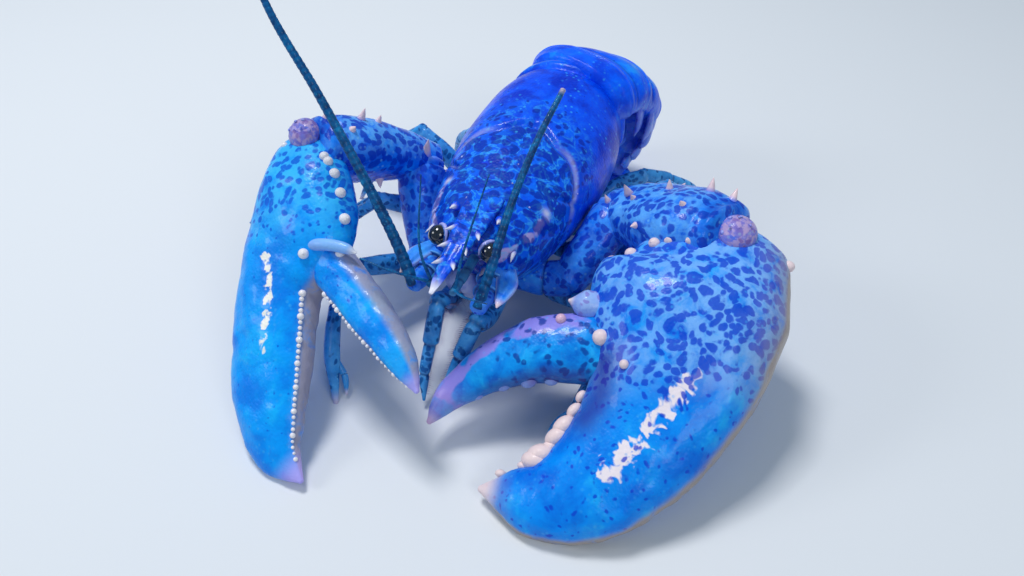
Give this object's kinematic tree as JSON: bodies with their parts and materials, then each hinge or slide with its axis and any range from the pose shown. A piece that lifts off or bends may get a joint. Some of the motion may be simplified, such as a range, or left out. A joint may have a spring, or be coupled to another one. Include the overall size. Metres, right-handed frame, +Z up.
{
  "type": "lobster",
  "caption": "Life-size clawed lobster in a blue shell, standing with its tail curled under and both big claws lowered in front.",
  "frame": {"origin": "middle of the bounding box's base, on the ground", "axes": "+Z up, the head looks along -Y, the animal's own left side is +X"},
  "size_m": [0.2478, 0.2448, 0.1913],
  "materials": {
    "shell": "smooth wet-looking shell, blue with darker mottling",
    "tail": "smooth glossy shell, blue with pale side flaps",
    "claw": "smooth shell, light blue with dark blue spots and pale tips",
    "leg": "smooth shell, teal blue",
    "feeler": "finely ringed, dark teal",
    "underside": "pale bluish underside",
    "eye": "glossy black"
  },
  "bodies": {
    "root": {"carapace": "shell", "thorax_underside": "underside", "eye_left": "eye", "eye_right": "eye", "antenna_base_left": "shell", "antenna_base_right": "shell", "antenna_right_lower": "feeler", "antenna_right_middle": "feeler", "antenna_right_upper": "feeler", "antenna_left_lower": "feeler", "antenna_left_upper": "feeler", "antennule_left": "feeler", "antennule_right": "feeler", "jaws": "underside", "maxilliped_left": "leg", "maxilliped_right": "leg", "crusher_ischium": "claw", "crusher_merus": "claw", "crusher_carpus": "claw", "crusher_finger": "claw", "crusher_palm": "claw", "crusher_fixed_finger": "claw", "cutter_ischium": "claw", "cutter_merus": "claw", "cutter_carpus": "claw", "cutter_finger": "claw", "cutter_palm": "claw", "cutter_fixed_finger": "claw", "leg_left_1_thigh": "leg", "leg_left_1_shin": "leg", "leg_left_2_thigh": "leg", "leg_left_2_shin": "leg", "leg_left_3_thigh": "leg", "leg_left_3_shin": "leg", "leg_left_4_thigh": "leg", "leg_left_4_shin": "leg", "leg_right_1_thigh": "leg", "leg_right_1_shin": "leg", "leg_right_2_thigh": "leg", "leg_right_2_shin": "leg", "leg_right_3_thigh": "leg", "leg_right_3_shin": "leg", "leg_right_4_thigh": "leg", "leg_right_4_shin": "leg", "tail_ring_1": "tail", "tail_ring_2": "tail", "tail_ring_3": "tail", "tail_ring_4": "tail", "tail_ring_5": "tail", "tail_ring_6": "tail", "telson": "tail", "uropod_inner_left": "tail", "uropod_outer_left": "tail", "uropod_inner_right": "tail", "uropod_outer_right": "tail"}
  },
  "joints": []
}
